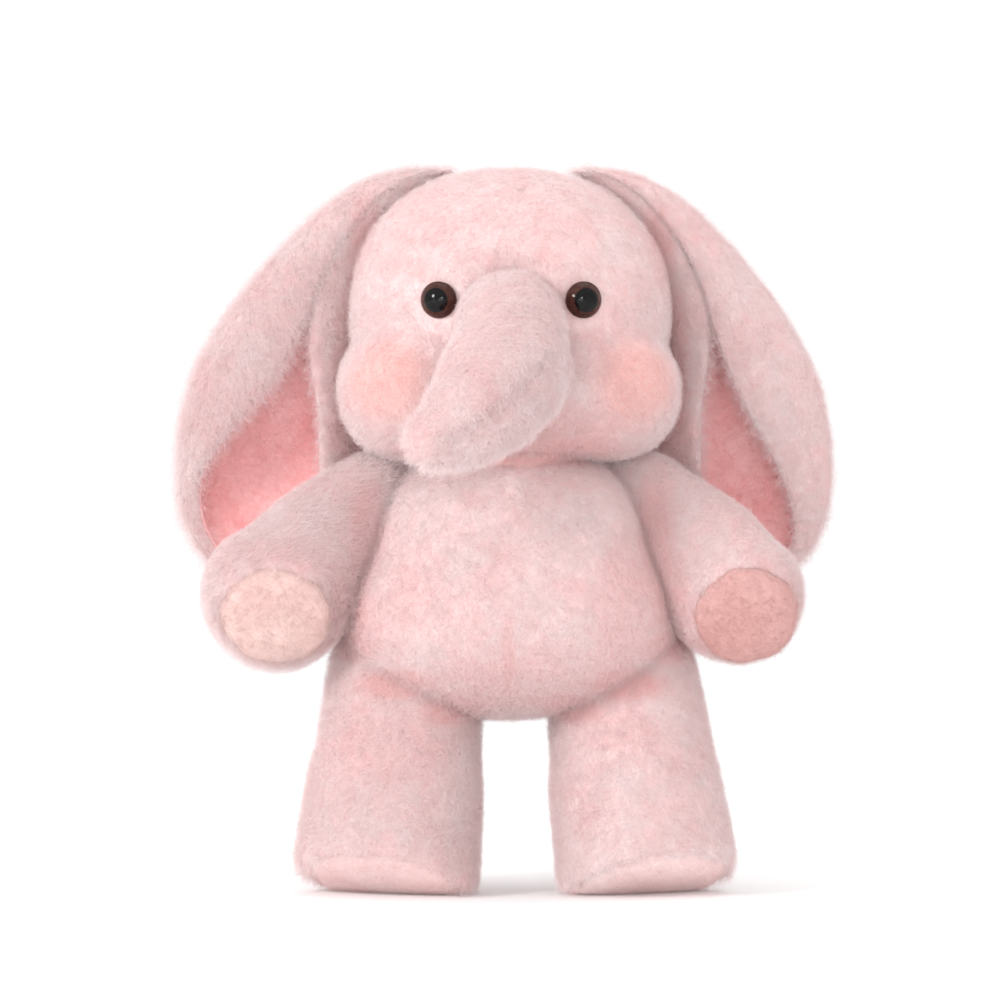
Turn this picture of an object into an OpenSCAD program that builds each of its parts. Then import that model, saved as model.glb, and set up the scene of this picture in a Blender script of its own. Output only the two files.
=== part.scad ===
// Stuffed toy elephant standing on its heels: a plush skin in sewn panels over
// soft stuffing, lop ears with a lining, a curved trunk, cone arms with pads
// and straight legs with soles. Millimetres, +Z up, the face looks to -Y, the
// origin is on the floor under the middle of the toy's box. Left is +X.

/* [Torso] */
// Width of the torso across the belly
torso_w = 140; // [134:1:144]
// Depth of the torso front to back
torso_d = 115; // [110:1:118]
// Thickness of every plush skin with its pile
skin_t = 3; // [2.5:0.1:3.4]

/* [Head] */
// Width of the head across the cheeks
head_w = 138; // [134:1:142]
// Depth of the head front to back
head_d = 108; // [104:1:112]
// Diameter of each moulded eye
eye_d = 15; // [13:0.5:15.5]
// Distance between the two eye centres
eye_gap = 59; // [58:1:64]

/* [Trunk] */
// Thickness of the trunk tip as a share of its usual one
trunk_tip = 1; // [0.85:0.01:1.1]

/* [Ears] */
// Total thickness of an ear, skin, wadding and lining
ear_t = 7; // [6:0.1:7.6]

/* [Limbs] */
// Radius of an arm at the hand
hand_r = 27.5; // [26:0.5:28.5]
// Radius of a leg at the sole
foot_r = 37; // [36:0.5:37.5]
// Radius of the round pad on each hand
pad_r = 19; // [16:0.5:20]

/* [Hidden] */

yo = 26.5;        // puts the middle of the toy's depth on the origin
gap = 0.2;        // between a skin and what it covers
gap_e = 0.45;     // the same in the ears, whose layers curve more tightly
fit = 0.6;        // between pieces of different bodies
nt = 28;          // sides of the torso and head
nl = 20;          // sides of a limb

fur = [0.93, 0.82, 0.81];
fur2 = [0.90, 0.78, 0.77];
deep = [0.90, 0.62, 0.62];
fill = [0.97, 0.96, 0.93];

// pieces whose surface is made of small flats
module soft() { resize([0, 0, 0]) translate([0, yo, 0]) union() children(); }
module side(s) { if (s > 0) children(); else mirror([1, 0, 0]) children(); }
module aim(p, d) { translate(p) rotate([0, acos(d[2] / norm(d)), atan2(d[1], d[0])]) children(); }

function se(a, e) = let (c = cos(a), s = sin(a)) [sign(c) * pow(abs(c), e), sign(s) * pow(abs(s), e)];

// a closed solid through a list of rings with the same number of points
module tube(rings) {
  n = len(rings[0]); m = len(rings);
  pts = [for (r = rings) for (p = r) p];
  f = concat(
    [[for (i = [0:n - 1]) i]],
    [for (j = [0:m - 2]) for (i = [0:n - 1]) let (k = (i + 1) % n) [j * n + i, (j + 1) * n + k, j * n + k]],
    [for (j = [0:m - 2]) for (i = [0:n - 1]) let (k = (i + 1) % n) [j * n + i, (j + 1) * n + i, (j + 1) * n + k]],
    [[for (i = [n - 1:-1:0]) (m - 1) * n + i]]);
  polyhedron(pts, f, convexity = 6);
}

// station: [z, half width, half depth in front, half depth behind, roundness]
module loft(st, o) {
  zc = (st[0][0] + st[len(st) - 1][0]) / 2; h = (st[len(st) - 1][0] - st[0][0]) / 2;
  tube([for (s = st) [for (i = [0:nt - 1]) let (q = se(i * 360 / nt, s[4]), w = max(s[1] - o, 2), f = max(s[2] - o, 2), b = max(s[3] - o, 2))
    [w * q[0], (q[1] < 0 ? f : b) * q[1], zc + (s[0] - zc) * (1 - o / h)]]]);
}

// ---------------------------------------------------------------- torso
tw = torso_w / 140; td = torso_d / 115;
torso_st = [
  [70, 9, 9, 9, 1], [71.5, 24, 22, 22, 1], [75.5, 39, 36, 35, 1], [82.5, 54 * tw, 48 * td, 46 * td, 1],
  [92, 64.5 * tw, 56 * td, 52 * td, 0.97], [105, 70 * tw, 60.5 * td, 54.5 * td, 0.95], [120, 69 * tw, 59.5 * td, 54 * td, 0.95],
  [138, 64 * tw, 54.5 * td, 51 * td, 0.95], [155, 58 * tw, 47 * td, 46 * td, 0.95], [166, 52, 40, 40, 0.97],
  [172, 44, 34, 34, 1], [176, 34, 27, 27, 1], [178, 23, 20, 20, 1]];

neck_p = [0, 0, 182];
hip = [47, 3, 78];
leg_dir = [5, -23, -75];
leg_l = norm(leg_dir);
leg_low = -12; leg_high = 28;
sh = [49, -4, 171];
arm_dir = [46, -18, -50];
arm_l = norm(arm_dir);
arm_low = -6; arm_high = 60;
tail_p = [0, 59.3, 118];

// turned about the left-right line through p
module about(p, a) { translate(p) rotate([a, 0, 0]) translate(-p) children(); }

module torso_room() {
  translate([0, 0, 160]) cylinder(r = 22.5, h = 40, $fn = 48);
  for (s = [-1, 1]) side(s) {
    hull() for (a = [leg_low, 8, leg_high]) about(hip, -a) leg_form(-fit, 20);
    hull() for (a = [arm_low, 16, 38, arm_high]) about(sh, -a) arm_form(-fit, 16);
  }
  translate(tail_p) sphere(r = 5.6 + fit, $fn = 24);
}
module torso_shell() { difference() { loft(torso_st, 0); loft(torso_st, skin_t); torso_room(); } }
module torso_front_skin(s) {
  soft() side(s) intersection() { torso_shell(); translate([gap / 2, -100 - gap / 2, 60]) cube([100, 100, 140]); }
}
module torso_front_left_skin() { color(fur) torso_front_skin(1); }
module torso_front_right_skin() { color(fur) torso_front_skin(-1); }
module torso_back_skin() { color(fur2) soft() intersection() { torso_shell(); translate([-100, gap / 2, 60]) cube([200, 100, 140]); } }
module torso_stuffing() { color(fill) soft() difference() { loft(torso_st, skin_t + gap); torso_room(); } }

// ---------------------------------------------------------------- neck
module neck_stuffing() {
  color(fill) translate([0, yo, 0]) difference() {
    union() {
      translate([0, 0, 160.4]) cylinder(r = 22, h = 13.6);
      translate([0, 0, 173.5]) cylinder(r1 = 22, r2 = 17, h = 3);
      translate([0, 0, 176]) cylinder(r = 17, h = 6);
      translate(neck_p) sphere(r = 20);
    }
    translate([0, 0, 140]) cylinder(r = 40, h = 20.4);
  }
}

// ---------------------------------------------------------------- head
hw = head_w / 138; hd = head_d / 108;
head_st = [
  [180, 28, 25, 25, 1], [182, 43, 38, 38, 1], [186, 54, 47, 46, 0.95], [192, 61.5 * hw, 51 * hd, 50 * hd, 0.9], [200, 67 * hw, 53 * hd, 53 * hd, 0.88],
  [213, 69 * hw, 53.5 * hd, 54.5 * hd, 0.88], [230, 67.5 * hw, 52.5 * hd, 55 * hd, 0.88], [247, 65 * hw, 50.5 * hd, 53.5 * hd, 0.9], [262, 60.5 * hw, 47 * hd, 50 * hd, 0.92],
  [274, 54 * hw, 42 * hd, 44.5 * hd, 0.95], [284, 45 * hw, 35 * hd, 37 * hd, 0.97], [292, 33, 26, 27, 1], [297, 20, 16, 16, 1], [299, 8, 7, 7, 1]];
trunk_p = [0, -42, 231];
trunk_low = -8; trunk_high = 30;
er = eye_d / 2;
eye_c = [eye_gap / 2, -47.5, 243];
eye_turn = 17;   // each eye looks a little outwards

module at_eye(s) { translate([0, yo, 0]) side(s) translate(eye_c) rotate([90 + 4, 0, eye_turn]) children(); }
module eye_room() {
  for (s = [-1, 1]) side(s) translate(eye_c) rotate([90 + 4, 0, eye_turn]) {
    translate([0, 0, -1.4]) cylinder(r = er + gap, h = 20, $fn = 32);
    translate([0, 0, -14]) cylinder(r = 2.3, h = 14, $fn = 16);
    translate([0, 0, -7.2]) cylinder(r = er + 1, h = 2.2, $fn = 24);
  }
}
module head_room() {
  translate(neck_p) sphere(r = 20 + fit, $fn = 40);
  translate([0, 0, 170]) cylinder(r = 20 + fit, h = 12, $fn = 40);
  for (a = [trunk_low, 11, trunk_high]) about(trunk_p, -a) trunk_form(-fit);
}
module head_shell() { difference() { loft(head_st, 0); loft(head_st, skin_t); head_room(); eye_room(); } }
seam_z = 226;
module forehead_skin() { color(fur) soft() intersection() { head_shell(); translate([-100, -100 - gap / 2, seam_z + gap / 2]) cube([200, 100, 90]); } }
module muzzle_skin() { color(fur) soft() intersection() { head_shell(); translate([-100, -100 - gap / 2, 170]) cube([200, 100, seam_z - 170 - gap / 2]); } }
module head_back_skin() { color(fur2) soft() intersection() { head_shell(); translate([-100, gap / 2, 170]) cube([200, 100, 150]); } }
module head_stuffing() { color(fill) soft() difference() { loft(head_st, skin_t + gap); head_room(); eye_room(); } }

dome_r = er * 1.12;
dome_z = sqrt(dome_r * dome_r - er * er);
pupil_r = er * 0.66;
module eye_dome() { intersection() { translate([0, 0, -dome_z]) sphere(r = dome_r); cylinder(r = er, h = 20); } }
module eye(s) {
  color([0.29, 0.16, 0.15]) at_eye(s) difference() {
    union() { eye_dome(); translate([0, 0, -1.2]) cylinder(r = er, h = 1.2); translate([0, 0, -12]) cylinder(r = 2, h = 12); }
    translate([0, 0, 2]) cylinder(r = pupil_r, h = 20);
  }
}
module eye_left() { eye(1); }
module eye_right() { eye(-1); }
module pupil(s) { color([0.05, 0.05, 0.05]) at_eye(s) intersection() { eye_dome(); translate([0, 0, 2]) cylinder(r = pupil_r, h = 20); } }
module eye_pupil_left() { pupil(1); }
module eye_pupil_right() { pupil(-1); }
module washer(s) { color([0.9, 0.9, 0.9]) at_eye(s) translate([0, 0, -6.8]) difference() { cylinder(r = er + 0.5, h = 1.4); translate([0, 0, -1]) cylinder(r = 2.05, h = 4); } }
module eye_washer_left() { washer(1); }
module eye_washer_right() { washer(-1); }

// ---------------------------------------------------------------- trunk
// [x, y, z, radius] along the trunk from the root to the tip
tt = trunk_tip;
trunk_path = [
  [0, -30, 235, 14], [0, -36, 233, 18.5], [0, -43, 231, 20.5], [0.5, -53, 227, 22.2], [0, -63, 221.5, 24], [-3, -73, 214.5, 24.5],
  [-8, -82, 206, 24.2], [-13, -89.5, 198, 22.8], [-19, -95, 190.5, 19.5 * tt], [-25, -99, 185, 15.5 * tt], [-31, -101.5, 181.5, 11.5 * tt], [-35, -102.7, 179, 7 * tt]];
function unit(v) = v / norm(v);
function tdir(i) = let (a = trunk_path[max(i - 1, 0)], b = trunk_path[min(i + 1, len(trunk_path) - 1)]) unit([b[0] - a[0], b[1] - a[1], b[2] - a[2]]);
module trunk_form(o) {
  k = len(trunk_path) - 1;
  tube([for (i = [0:k]) let (p = trunk_path[i], d = tdir(i), u = unit(cross(d, [0, 0, 1])), v = cross(u, d),
      e = i == 0 ? o : (i == k ? -o : 0), r = max(p[3] - o, 1.5))
    [for (j = [0:19]) let (a = -j * 18) [p[0], p[1], p[2]] + e * d + r * cos(a) * u + r * sin(a) * v]]);
}
// a wall that follows the trunk's middle, open on its upper side
module trunk_cut(up) {
  k = len(trunk_path) - 1;
  tube([for (i = [0:k]) let (p = trunk_path[i], d = tdir(i), u = unit(cross(d, [0, 0, 1])), v = cross(u, d), e = i == 0 ? -12 : (i == k ? 12 : 0), c = [p[0], p[1], p[2]] + e * d)
    up ? [c - 40 * u + gap / 2 * v, c - 40 * u + 50 * v, c + 40 * u + 50 * v, c + 40 * u + gap / 2 * v]
       : [c - 40 * u - 50 * v, c - 40 * u - gap / 2 * v, c + 40 * u - gap / 2 * v, c + 40 * u - 50 * v]]);
}
module trunk_shell() { difference() { trunk_form(0); trunk_form(skin_t); } }
module trunk_top_skin() { color(fur) soft() intersection() { trunk_shell(); trunk_cut(true); } }
module trunk_underside_skin() { color(fur2) soft() intersection() { trunk_shell(); trunk_cut(false); } }
module trunk_stuffing() { color(fill) soft() trunk_form(skin_t + gap); }

// ---------------------------------------------------------------- ears
// [z, inner x, outer x, middle y, half depth, opening: inner and outer angle]
ear_st = [
  [293, 37, 51, 8, 7.2, 262, -84], [284, 49.5, 70, 9, 7.8, 262, -86], [272, 59, 86, 11, 9, 261, -88], [259, 65, 99, 14, 10.8, 260, -90],
  [245, 69, 110, 17, 13.5, 258, -92], [232, 71, 118.5, 20, 15.5, 252, -94], [218, 72, 126, 24, 17.5, 242, -95], [204, 72, 131, 27, 18, 232, -94],
  [190, 72, 134, 30, 17.5, 227, -88], [176, 73, 135, 32, 16.5, 222, -80], [162, 75, 134, 33.5, 15, 212, -68], [150, 79, 130, 34.5, 13, 204, -54], [140, 86, 124, 35, 10.5, 198, -40], [134, 93, 119, 35.5, 9, 194, -28]];
ne = 12;
function ear_pt(s, i, o) = let (cx = (s[1] + s[2]) / 2, w = (s[2] - s[1]) / 2, a = s[5] + (s[6] - s[5]) * i / ne)
  [cx + max(w - o, 0.4) * cos(a), s[3] + max(s[4] - o, 0.4) * sin(a), s[0]];
module ear_layer(s, first, last, o0, o1) {
  soft() side(s) tube([for (k = [last:-1:first]) concat(
    [for (i = [0:ne]) ear_pt(ear_st[k], i, o1)],
    [for (i = [ne:-1:0]) ear_pt(ear_st[k], i, o0)])]);
}
skin_e = ear_t * 0.42; lin_e = ear_t * 0.3;
module ear_left_skin() { color(fur) ear_layer(1, 0, 13, 0, skin_e); }
module ear_right_skin() { color(fur) ear_layer(-1, 0, 13, 0, skin_e); }
module ear_left_wadding() { color(fill) ear_layer(1, 1, 12, skin_e + gap_e, ear_t - lin_e - gap_e); }
module ear_right_wadding() { color(fill) ear_layer(-1, 1, 12, skin_e + gap_e, ear_t - lin_e - gap_e); }
module ear_left_lining() { color(deep) ear_layer(1, 2, 13, ear_t - lin_e, ear_t); }
module ear_right_lining() { color(deep) ear_layer(-1, 2, 13, ear_t - lin_e, ear_t); }

// ---------------------------------------------------------------- arms
arm_r0 = 9;
module arm_form(o, n = nl) {
  th = asin((hand_r - arm_r0) / arm_l);
  aim(sh, arm_dir) rotate_extrude($fn = n) polygon(concat(
    [for (i = [0:3]) let (a = -90 + (90 - th) * i / 3) [i == 0 ? 0 : (arm_r0 - o) * cos(a), (arm_r0 - o) * sin(a)]],
    [for (i = [0:7]) let (a = -th + (90 + th) * i / 7) [i == 7 ? 0 : (hand_r - o) * cos(a), arm_l + (hand_r - o) * sin(a)]]));
}
module arm_shell() { difference() { arm_form(0); arm_form(skin_t); } }
module pad_cut(o) { aim(sh + arm_dir, [0.06, -0.93, -0.36]) cylinder(r = pad_r + o, h = 60, $fn = 36); }
module arm_skin(s) { color(fur) soft() side(s) difference() { arm_shell(); pad_cut(gap / 2); } }
module arm_pad(s) { color(deep) soft() side(s) intersection() { arm_shell(); pad_cut(-gap / 2); } }
module arm_stuffing(s) { color(fill) soft() side(s) arm_form(skin_t + gap); }
module arm_left_skin() { arm_skin(1); }
module arm_right_skin() { arm_skin(-1); }
module arm_left_pad() { arm_pad(1); }
module arm_right_pad() { arm_pad(-1); }
module arm_left_stuffing() { arm_stuffing(1); }
module arm_right_stuffing() { arm_stuffing(-1); }

// ---------------------------------------------------------------- legs
leg_r0 = 34;
sole_r = 33;
module leg_form(o, n = nl + 4) {
  r = foot_r - o; e = leg_l - o;
  difference() {
    aim(hip, leg_dir) rotate_extrude($fn = n) polygon(concat(
      [for (i = [0:5]) let (a = -90 + 90 * i / 5) [i == 0 ? 0 : (leg_r0 - o) * cos(a), (leg_r0 - o) * sin(a)]],
      [[leg_r0 + 0.8 - o, leg_l * 0.4], [r - 0.6, leg_l * 0.72], [r, e - 7], [r - 1.2, e - 3], [r - 4, e], [0, e]]));
    translate([-200, -200, -60 + o]) cube([400, 400, 60]);
  }
}
module leg_shell() { difference() { leg_form(0); leg_form(skin_t); } }
module sole_cut(o) { aim(hip + leg_dir * 0.7, leg_dir) cylinder(r = sole_r + o, h = 60, $fn = nl + 4); }
module leg_skin(s) { color(fur) soft() side(s) difference() { leg_shell(); sole_cut(gap / 2); } }
module leg_sole(s) { color(deep) soft() side(s) intersection() { leg_shell(); sole_cut(-gap / 2); } }
module leg_stuffing(s) { color(fill) soft() side(s) leg_form(skin_t + gap); }
module leg_left_skin() { leg_skin(1); }
module leg_right_skin() { leg_skin(-1); }
module leg_left_sole() { leg_sole(1); }
module leg_right_sole() { leg_sole(-1); }
module leg_left_stuffing() { leg_stuffing(1); }
module leg_right_stuffing() { leg_stuffing(-1); }

// ---------------------------------------------------------------- tail
module at_tail() { translate(tail_p + [0, yo, 0]) rotate([180, 0, 0]) children(); }
module tail_skin() {
  color(fur) at_tail() difference() {
    rotate_extrude() polygon([[0, -4.2], [2.2, -3.6], [3.6, -2.2], [4.2, 0], [4.1, 12], [4, 30], [0, 30]]);
    translate([0, 0, 26]) cylinder(r = 3.2, h = 10);
  }
}
module tail_tuft() {
  color(fur2) at_tail() rotate_extrude() polygon([[0, 26.2], [3, 26.2], [3, 30.3], [4.4, 30.3], [5, 34], [5, 38], [4.4, 43], [2.6, 46], [0, 47]]);
}

torso_front_left_skin();
torso_front_right_skin();
torso_back_skin();
torso_stuffing();
neck_stuffing();
forehead_skin();
muzzle_skin();
head_back_skin();
head_stuffing();
eye_left();
eye_right();
eye_pupil_left();
eye_pupil_right();
eye_washer_left();
eye_washer_right();
trunk_top_skin();
trunk_underside_skin();
trunk_stuffing();
ear_left_skin();
ear_right_skin();
ear_left_wadding();
ear_right_wadding();
ear_left_lining();
ear_right_lining();
arm_left_skin();
arm_right_skin();
arm_left_pad();
arm_right_pad();
arm_left_stuffing();
arm_right_stuffing();
leg_left_skin();
leg_right_skin();
leg_left_sole();
leg_right_sole();
leg_left_stuffing();
leg_right_stuffing();
tail_skin();
tail_tuft();
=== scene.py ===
import math
import bpy
import numpy as np
from mathutils import Vector, Matrix

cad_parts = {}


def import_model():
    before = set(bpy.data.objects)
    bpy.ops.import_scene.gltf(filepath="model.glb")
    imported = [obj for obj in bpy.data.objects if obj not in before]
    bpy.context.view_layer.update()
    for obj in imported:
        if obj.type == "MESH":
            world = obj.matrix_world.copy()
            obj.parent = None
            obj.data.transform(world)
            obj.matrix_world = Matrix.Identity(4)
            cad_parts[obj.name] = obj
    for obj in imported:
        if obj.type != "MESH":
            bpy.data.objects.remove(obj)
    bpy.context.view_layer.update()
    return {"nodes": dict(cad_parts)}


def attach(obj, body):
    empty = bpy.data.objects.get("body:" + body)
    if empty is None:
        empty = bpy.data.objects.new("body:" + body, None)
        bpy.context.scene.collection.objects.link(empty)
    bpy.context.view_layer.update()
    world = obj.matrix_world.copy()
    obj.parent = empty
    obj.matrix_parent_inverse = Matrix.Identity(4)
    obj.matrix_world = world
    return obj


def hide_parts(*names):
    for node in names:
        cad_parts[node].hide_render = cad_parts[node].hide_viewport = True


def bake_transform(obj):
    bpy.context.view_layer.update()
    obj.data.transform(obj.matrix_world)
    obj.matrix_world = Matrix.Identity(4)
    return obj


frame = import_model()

YO = 26.5          # the solids' depth shift, millimetres

# ---------------------------------------------------------------- field tools (millimetres)

def ell(P, c, r, e=2.0):
    q = [np.abs((P[i] - c[i]) / r[i]) for i in range(3)]
    if e == 2.0:
        k0 = np.sqrt(q[0] ** 2 + q[1] ** 2 + q[2] ** 2) + 1e-9
        k1 = np.sqrt((q[0] / r[0]) ** 2 + (q[1] / r[1]) ** 2 + (q[2] / r[2]) ** 2) + 1e-9
        return k0 * (k0 - 1) / k1
    k0 = (q[0] ** e + q[1] ** e + q[2] ** e) ** (1 / e) + 1e-9
    g = np.sqrt(sum((q[i] ** (e - 1) / r[i]) ** 2 for i in range(3))) * k0 ** (1 - e) + 1e-9
    return (k0 - 1) / np.maximum(g, 1e-4)


def smin(a, b, k):
    h = np.clip(0.5 + 0.5 * (b - a) / k, 0, 1)
    return b * (1 - h) + a * h - k * h * (1 - h)


def smax(a, b, k):
    return -smin(-a, -b, k)


def seg(P, a, b, r0, r1):
    """Distance to a cone with round ends from a to b."""
    a, b = np.array(a, float), np.array(b, float)
    d = b - a
    t = np.clip(((P[0] - a[0]) * d[0] + (P[1] - a[1]) * d[1] + (P[2] - a[2]) * d[2]) / (d @ d), 0, 1)
    q = np.sqrt((P[0] - a[0] - t * d[0]) ** 2 + (P[1] - a[1] - t * d[1]) ** 2 + (P[2] - a[2] - t * d[2]) ** 2)
    return q - (r0 + (r1 - r0) * t)


def path(P, pts, k):
    f = None
    for p, q in zip(pts[:-1], pts[1:]):
        g = seg(P, p[:3], q[:3], p[3], q[3])
        f = g if f is None else smin(f, g, k)
    return f


def crease(P, pts, r, depth):
    """How much the surface is pulled in along a line of points: a smooth narrow valley."""
    d = None
    for a, b in zip(pts[:-1], pts[1:]):
        g = seg(P, a, b, 0, 0)
        d = g if d is None else np.minimum(d, g)
    return depth * np.exp(-(d / r) ** 2)


def wob(P, s, amp, seed=0.0):
    """Low smooth unevenness of stuffed cloth."""
    x, y, z = P[0] / s, P[1] / s, P[2] / s
    return amp * (np.sin(x * 1.3 + 2.1 * np.sin(z * 0.9 + seed) + seed) * np.sin(y * 1.1 + 1.7 * np.sin(x * 0.8 + 1.3 * seed))
                  + 0.6 * np.sin(z * 2.1 + 1.3 * np.sin(y * 1.7 + seed) + 2 * seed))


def nets(field, lo, hi, h):
    """Closed quad surface where field is zero, by surface nets."""
    ax = [np.arange(lo[i], hi[i] + h, h) for i in range(3)]
    P = np.meshgrid(*ax, indexing="ij")
    F = field(P)
    F[np.abs(F) < 1e-6] = 1e-6
    n = F.shape
    acc = np.zeros((n[0] - 1, n[1] - 1, n[2] - 1, 3)); cnt = np.zeros(acc.shape[:3])
    quads = []
    crossings = []
    for d in range(3):
        s0 = [slice(None)] * 3; s1 = [slice(None)] * 3
        s0[d] = slice(0, -1); s1[d] = slice(1, None)
        a, b = F[tuple(s0)], F[tuple(s1)]
        I = np.argwhere((a < 0) != (b < 0))
        fa, fb = a[tuple(I.T)], b[tuple(I.T)]
        t = fa / (fa - fb)
        pos = np.stack([ax[i][I[:, i]] for i in range(3)], 1)
        pos[:, d] += t * h
        u, v = [i for i in range(3) if i != d]
        cells = []
        for du, dv in ((0, 0), (-1, 0), (-1, -1), (0, -1)):
            J = I.copy(); J[:, u] += du; J[:, v] += dv
            ok = np.all((J >= 0) & (J < np.array(acc.shape[:3])), 1)
            np.add.at(acc, tuple(J[ok].T), pos[ok]); np.add.at(cnt, tuple(J[ok].T), 1)
            cells.append((J, ok))
        inside = fa < 0
        crossings.append((d, cells, inside))
    used = cnt > 0
    idx = -np.ones(cnt.shape, int); idx[used] = np.arange(used.sum())
    verts = acc[used] / cnt[used][:, None]
    for d, cells, inside in crossings:
        ok = np.logical_and.reduce([c[1] for c in cells])
        q = np.stack([idx[tuple(c[0][ok].T)] for c in cells], 1)
        flip = inside[ok] if d != 1 else ~inside[ok]
        q[~flip] = q[~flip][:, ::-1]
        quads.append(q)
    return verts, np.concatenate(quads)


def relax(v, q, n=2, f=0.5):
    a = np.concatenate([q[:, 0], q[:, 1], q[:, 2], q[:, 3]]); b = np.concatenate([q[:, 1], q[:, 2], q[:, 3], q[:, 0]])
    deg = np.bincount(a, minlength=len(v)) + np.bincount(b, minlength=len(v))
    for _ in range(n):
        s = np.zeros_like(v)
        for k in range(3):
            s[:, k] = np.bincount(a, v[b, k], len(v)) + np.bincount(b, v[a, k], len(v))
        v = v + f * (s / deg[:, None] - v)
    return v


def obj(name, verts_mm, faces, shift=True):
    v = np.array(verts_mm, float).copy()
    if shift:
        v[:, 1] += YO
    v /= 1000
    m = bpy.data.meshes.new(name)
    m.from_pydata([tuple(p) for p in v], [], [tuple(int(i) for i in f) for f in faces])
    m.validate(); m.update()
    m.polygons.foreach_set("use_smooth", [True] * len(m.polygons))
    o = bpy.data.objects.new(name, m)
    bpy.context.scene.collection.objects.link(o)
    return o


def solid(name, field, lo, hi, h, n=3, inset=0.0):
    """The piece's backing cloth; inset leaves room outside it for the pile."""
    v, q = nets((lambda P: field(P) + inset) if inset else field, lo, hi, h)
    v = relax(v, q, n)
    return obj(name, v, q)


def recalc(o):
    import bmesh
    b = bmesh.new(); b.from_mesh(o.data)
    bmesh.ops.recalc_face_normals(b, faces=b.faces)
    b.to_mesh(o.data); b.free(); o.data.update()

# ---------------------------------------------------------------- shapes

HEAD_C = (0, 0, 240)
EYES = {1: (29.5, -47.5, 243), -1: (-29.5, -47.5, 243)}


def head_field(P):
    f = ell(P, HEAD_C, (65.5, 52.5, 59.5), 2.25)
    for s in (1, -1):
        f = smin(f, ell(P, (s * 39.5, -13, 208), (30.5, 38.5, 29.5)), 5)
    f = smin(f, ell(P, (0, -18, 204), (50, 37, 28)), 10)
    f = smin(f, ell(P, (0, 10, 206), (56, 44, 29.5)), 12)
    # flat under side where it rests on the body
    f = smax(f, 177.2 - P[2], 6)
    # eye sockets, the fold over them and the side darts
    for s in (1, -1):
        e = EYES[s]
        f = f + 2.6 * np.exp(-(((P[0] - e[0]) / 9.5) ** 2 + ((P[1] - e[1]) / 12) ** 2 + ((P[2] - e[2] - 1) / 8.5) ** 2))
        f = f + crease(P, [(s * 68, -6, 227), (s * 66, -20, 227), (s * 60, -33, 229), (s * 52, -42, 232)], 3.0, 4.2)
        f = f + crease(P, [(s * 52, -42, 232), (s * 41, -48, 238)], 3.6, 2.0)
        f = f + crease(P, [(s * 50, -2, 288), (s * 62, 6, 266), (s * 67, 10, 240)], 5, 2.0)
    # centre seam over the top and down the back
    f = f + crease(P, [(0, -20, 294), (0, 0, 300), (0, 25, 293), (0, 45, 272), (0, 53, 240), (0, 50, 210)], 1.8, 1.2)
    # the face dips all round the trunk's root
    rho = np.sqrt((P[0] - 0.8) ** 2 + (P[2] - 233) ** 2)
    f = f + 2.4 * np.exp(-((rho - 19.5) / 4) ** 2) * np.clip((-30 - P[1]) / 8, 0, 1)
    # brow pinch above it
    f = f + 1.6 * np.exp(-(((P[0]) / 16) ** 2 + ((P[1] + 48) / 16) ** 2 + ((P[2] - 258) / 5) ** 2))
    return f + wob(P, 17, 0.35, 0.7)


TRUNK = [(0, -24, 233, 14), (0.2, -36, 234, 16.5), (0.4, -43, 235, 17.8), (-0.4, -54, 231.8, 19.5), (0, -63, 225.5, 19.5), (-2.6, -73, 217.2, 19.7),
         (-7.4, -82, 209, 18.8), (-12.5, -89, 201, 17.0), (-18.2, -94.5, 194.3, 14.8), (-24, -98, 189.5, 11.6), (-29.5, -100.5, 186.5, 9), (-32, -101.5, 185.4, 8)]


def trunk_field(P):
    f = path(P, TRUNK, 5)
    # the lower side's panel bulges out beside the seam
    f = smin(f, path(P, [(14.5, -60, 216.5, 8.5), (8, -76, 206, 10), (-2, -87, 195.5, 10), (-13.5, -94, 188.5, 8.8), (-25, -99, 184.5, 6.8)], 4), 2.5)
    f = f + crease(P, [(12, -80, 220), (6, -94, 209.5), (-3, -103.5, 199.5), (-14, -108.5, 190.5), (-26, -109.5, 184)], 3.2, 4.6)
    f = f + crease(P, [(-24, -66, 214), (-27, -78, 203), (-33, -90, 192), (-40, -98, 184)], 2.6, 0.8)
    return f + wob(P, 12, 0.3, 2.1)


def torso_field(P):
    f = ell(P, (0.5, -2.5, 115), (70, 58.5, 42), 2.15)
    f = smin(f, ell(P, (0.5, -3, 150), (56.5, 47.5, 36.5), 2.2), 18)
    f = smin(f, ell(P, (0, 9, 156), (51, 43, 31)), 12)
    # centre seam in front, low on the belly, and down the back
    f = f + crease(P, [(-4, -60, 104), (-4.5, -58, 94), (-4.5, -50, 82), (-3, -30, 73)], 2.8, 2.6)
    f = f + crease(P, [(0, 44, 165), (0, 53, 135), (0, 55, 110), (0, 45, 85)], 2.0, 1.6)
    # side seams
    for s in (1, -1):
        f = f + crease(P, [(s * 57, 3, 160), (s * 66, 3, 135), (s * 71, 3, 110), (s * 62, 3, 88)], 2.0, 1.2)
        # the cloth is pulled in where an arm is sewn on
        f = f + crease(P, [(s * 52, -8, 178), (s * 55, -12, 163)], 7, 2.2)
    return f + wob(P, 20, 0.45, 1.4)


SH = (49, -4, 171); HAND = (95, -22, 121)
PAD_N = np.array((0.06, -0.93, -0.36)); PAD_N /= np.linalg.norm(PAD_N)


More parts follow.
